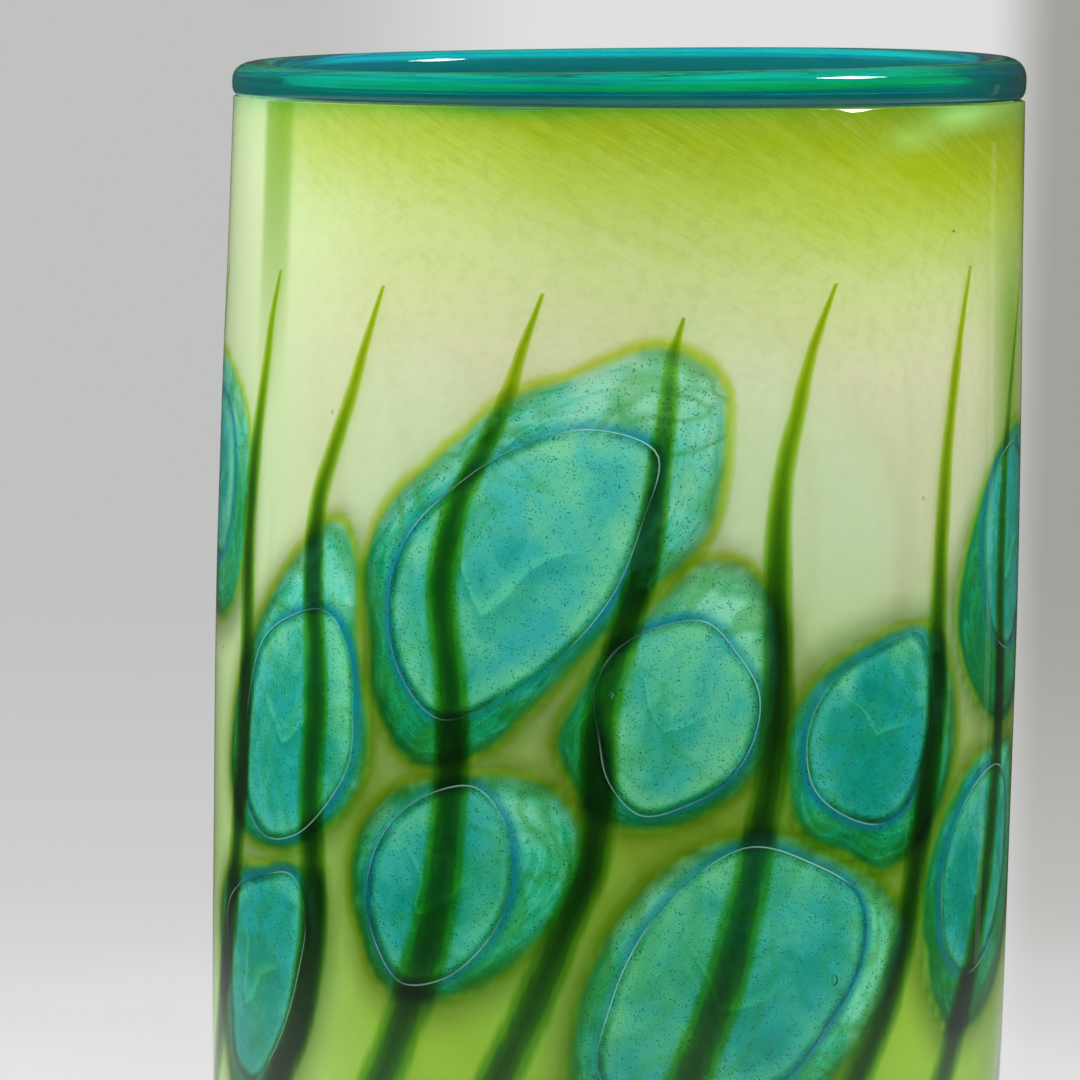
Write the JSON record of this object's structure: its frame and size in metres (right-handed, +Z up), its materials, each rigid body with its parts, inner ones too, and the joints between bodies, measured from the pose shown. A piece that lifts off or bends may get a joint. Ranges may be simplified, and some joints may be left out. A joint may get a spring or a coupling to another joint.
{
  "type": "hand blown art glass vase",
  "caption": "Tall near-cylindrical cased-glass vase: clear outer gather over turquoise-on-teal patches, olive stems and a lime powder layer, with a teal bead wrapped on the lip.",
  "frame": {"origin": "middle of the flat resting face, at table level", "axes": "+Z up along the vase's axis, -Y towards the best side, +X to the right of someone facing that side"},
  "size_m": [0.1248, 0.1248, 0.2682],
  "materials": {
    "clear_glass": "fire-polished, clear",
    "lime_glass": "powdered colour, hazy",
    "olive_glass": "transparent, drawn",
    "teal_glass": "marvered flat, speckled",
    "turquoise_glass": "marvered flat, speckled",
    "lip_glass": "fire-polished, streaked"
  },
  "bodies": {
    "root": {"inner_gather": "clear_glass", "lime_overlay": "lime_glass", "outer_casing": "clear_glass", "lip_wrap": "lip_glass", "trail_01": "olive_glass", "trail_02": "olive_glass", "trail_03": "olive_glass", "trail_04": "olive_glass", "trail_05": "olive_glass", "trail_06": "olive_glass", "trail_07": "olive_glass", "trail_08": "olive_glass", "trail_09": "olive_glass", "trail_10": "olive_glass", "trail_11": "olive_glass", "trail_12": "olive_glass", "trail_13": "olive_glass", "trail_14": "olive_glass", "trail_15": "olive_glass", "halo_01": "teal_glass", "halo_02": "teal_glass", "halo_03": "teal_glass", "halo_04": "teal_glass", "halo_05": "teal_glass", "halo_06": "teal_glass", "halo_07": "teal_glass", "halo_08": "teal_glass", "halo_09": "teal_glass", "halo_10": "teal_glass", "halo_11": "teal_glass", "halo_12": "teal_glass", "halo_13": "teal_glass", "halo_14": "teal_glass", "halo_15": "teal_glass", "halo_16": "teal_glass", "halo_17": "teal_glass", "halo_18": "teal_glass", "core_01": "turquoise_glass", "core_02": "turquoise_glass", "core_03": "turquoise_glass", "core_04": "turquoise_glass", "core_05": "turquoise_glass", "core_06": "turquoise_glass", "core_07": "turquoise_glass", "core_08": "turquoise_glass", "core_09": "turquoise_glass", "core_10": "turquoise_glass", "core_11": "turquoise_glass", "core_12": "turquoise_glass", "core_13": "turquoise_glass", "core_14": "turquoise_glass", "core_15": "turquoise_glass", "core_16": "turquoise_glass", "core_17": "turquoise_glass", "core_18": "turquoise_glass"}
  },
  "joints": []
}
